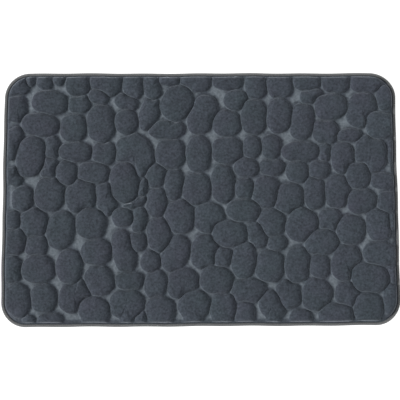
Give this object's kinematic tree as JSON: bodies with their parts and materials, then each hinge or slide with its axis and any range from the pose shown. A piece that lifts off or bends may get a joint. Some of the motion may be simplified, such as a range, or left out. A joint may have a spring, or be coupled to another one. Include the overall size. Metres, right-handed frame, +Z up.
{
  "type": "bath mat",
  "caption": "Rectangular memory-foam bath mat with rounded corners, a pebble-embossed fleece top, a bound edge and a non-slip underside.",
  "frame": {"origin": "middle of the underside, on the floor", "axes": "+X along the long side, +Y across the short side, +Z up through the pile"},
  "size_m": [0.7, 0.45, 0.015],
  "materials": {
    "fleece": "dense short pile, heat-embossed",
    "foam": "open-cell foam",
    "backing": "fine knitted mesh",
    "dots": "satin, slightly tacky",
    "binding": "ribbed woven tape",
    "thread": "twisted polyester",
    "label": "smooth satin weave"
  },
  "bodies": {
    "root": {"fleece_cover": "fleece", "foam_core": "foam", "backing_sheet": "backing", "grip_dots": "dots", "edge_binding": "binding", "seam_needle_thread": "thread", "seam_bobbin_thread": "thread", "care_label": "label"}
  },
  "joints": []
}
